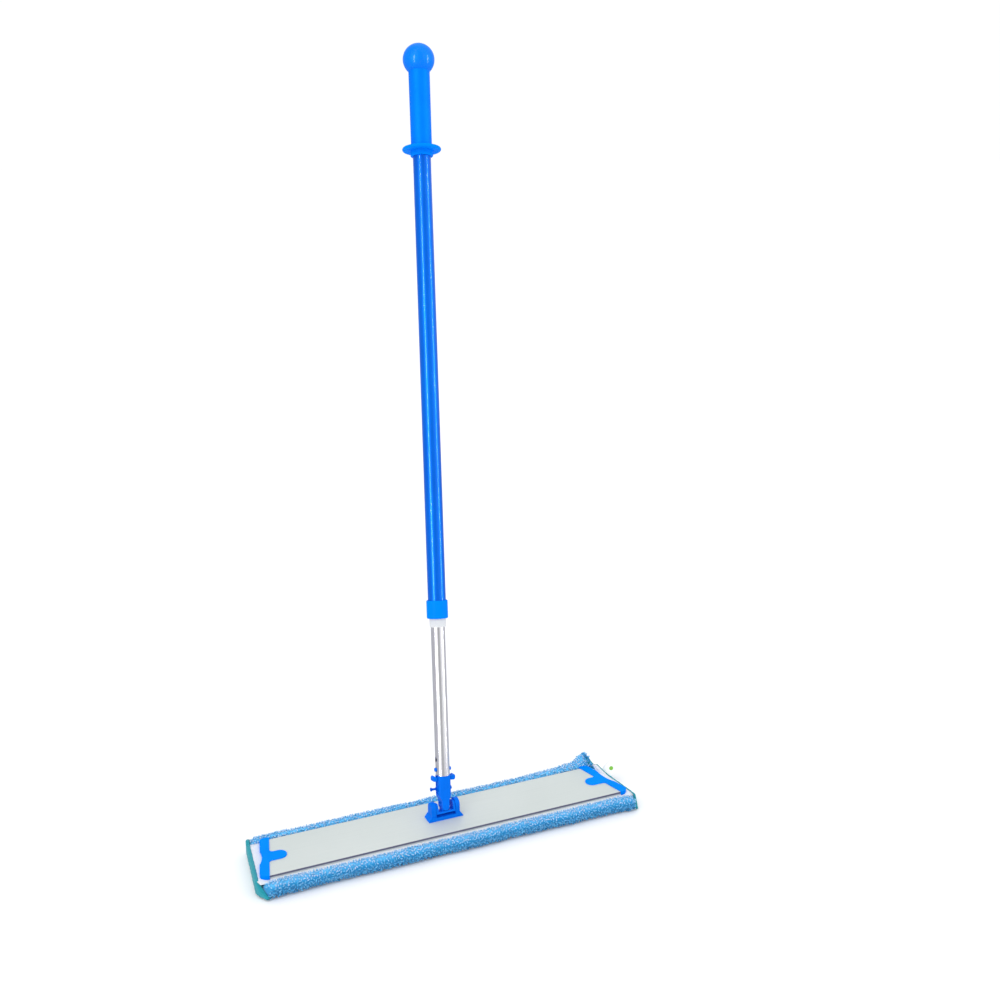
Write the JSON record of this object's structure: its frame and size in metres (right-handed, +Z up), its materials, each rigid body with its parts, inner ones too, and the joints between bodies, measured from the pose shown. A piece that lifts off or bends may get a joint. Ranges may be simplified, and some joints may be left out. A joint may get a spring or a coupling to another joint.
{
  "type": "flat mop",
  "caption": "Flat mop with a wide microfibre pad under an aluminium plate, a two-way tilting joint, snap-in release levers and a telescopic handle with twist clamp, hand guard and ball end.",
  "frame": {"origin": "middle of the pad's underside, on the floor", "axes": "+X along the head to its right-hand end, -Y towards the head's longer front edge, +Z up"},
  "size_m": [0.6406, 0.3986, 1.1818],
  "materials": {
    "microfibre": "looped pile",
    "wadding": "soft filling",
    "loop_backing": "white loop fabric",
    "teal_tape": "woven tape",
    "label_cloth": "thin woven tag",
    "anodised_aluminium": "satin anodised",
    "bright_aluminium": "polished anodised",
    "blue_aluminium": "gloss blue coating",
    "blue_plastic": "moulded, satin",
    "blue_grip": "smooth",
    "pale_plastic": "moulded, satin",
    "hook_tape": "short stiff hooks",
    "pin_steel": "zinc plated"
  },
  "bodies": {
    "pad": {"pad_pile": "microfibre", "pad_core": "wadding", "pad_backing": "loop_backing", "end_binding_left": "teal_tape", "end_binding_right": "teal_tape", "care_label": "label_cloth"},
    "head": {"plate": "anodised_aluminium", "hook_strip_front": "hook_tape", "hook_strip_rear": "hook_tape", "end_cap_left": "blue_plastic", "end_cap_right": "blue_plastic", "bracket_rivets": "pin_steel", "joint_bracket": "blue_plastic", "tilt_pins": "blue_plastic"},
    "cross": {"cross_block": "blue_plastic", "side_pin": "blue_plastic"},
    "lower_handle": {"socket_yoke": "blue_plastic", "cross_pin": "pin_steel", "lever_pins": "pin_steel", "lever_spring": "pin_steel", "lower_tube": "bright_aluminium", "guide_bush": "pale_plastic"},
    "lever_left": {"release_lever_left": "blue_plastic"},
    "lever_right": {"release_lever_right": "blue_plastic"},
    "upper_handle": {"upper_tube": "blue_aluminium", "clamp_ferrule": "pale_plastic", "clamp_collet": "pale_plastic", "grip": "blue_grip", "hand_guard": "blue_plastic", "ball_knob": "blue_grip"},
    "clamp_ring": {"clamp_nut": "blue_plastic"}
  },
  "joints": [
    {"name": "pad_release", "type": "slide", "parent": "pad", "child": "head", "axis": [0, 0, 1], "range_m": [0, 0.08]},
    {"name": "fore_aft_tilt", "type": "hinge", "parent": "head", "child": "cross", "pos_m": [0, 0, 0.046], "axis": [-1, 0, 0], "range_deg": [-95.3, 64.7]},
    {"name": "side_tilt", "type": "hinge", "parent": "cross", "child": "lower_handle", "pos_m": [0, 0, 0.046], "axis": [0, 0.9646, -0.2639], "range_deg": [-33.75, 24.25]},
    {"name": "release_left", "type": "hinge", "parent": "lower_handle", "child": "lever_left", "pos_m": [-0.00366, 0.00908, 0.0792], "axis": [0, 0.9646, -0.2639], "range_deg": [0, 8], "stiffness_Nm_per_rad": 0.3, "springref_deg": -8.59},
    {"name": "release_right", "type": "hinge", "parent": "lower_handle", "child": "lever_right", "pos_m": [0.00929, 0.0088, 0.07816], "axis": [0, -0.9646, 0.2639], "range_deg": [0, 8], "stiffness_Nm_per_rad": 0.3, "springref_deg": -8.59},
    {"name": "telescope", "type": "slide", "parent": "lower_handle", "child": "upper_handle", "axis": [0.0828, 0.263, 0.9612], "range_m": [-0.19, 0.34]},
    {"name": "clamp_twist", "type": "hinge", "parent": "upper_handle", "child": "clamp_ring", "pos_m": [0.02526, 0.0802, 0.33918], "axis": [0.0828, 0.263, 0.9612], "range_deg": [0, 90]}
  ]
}
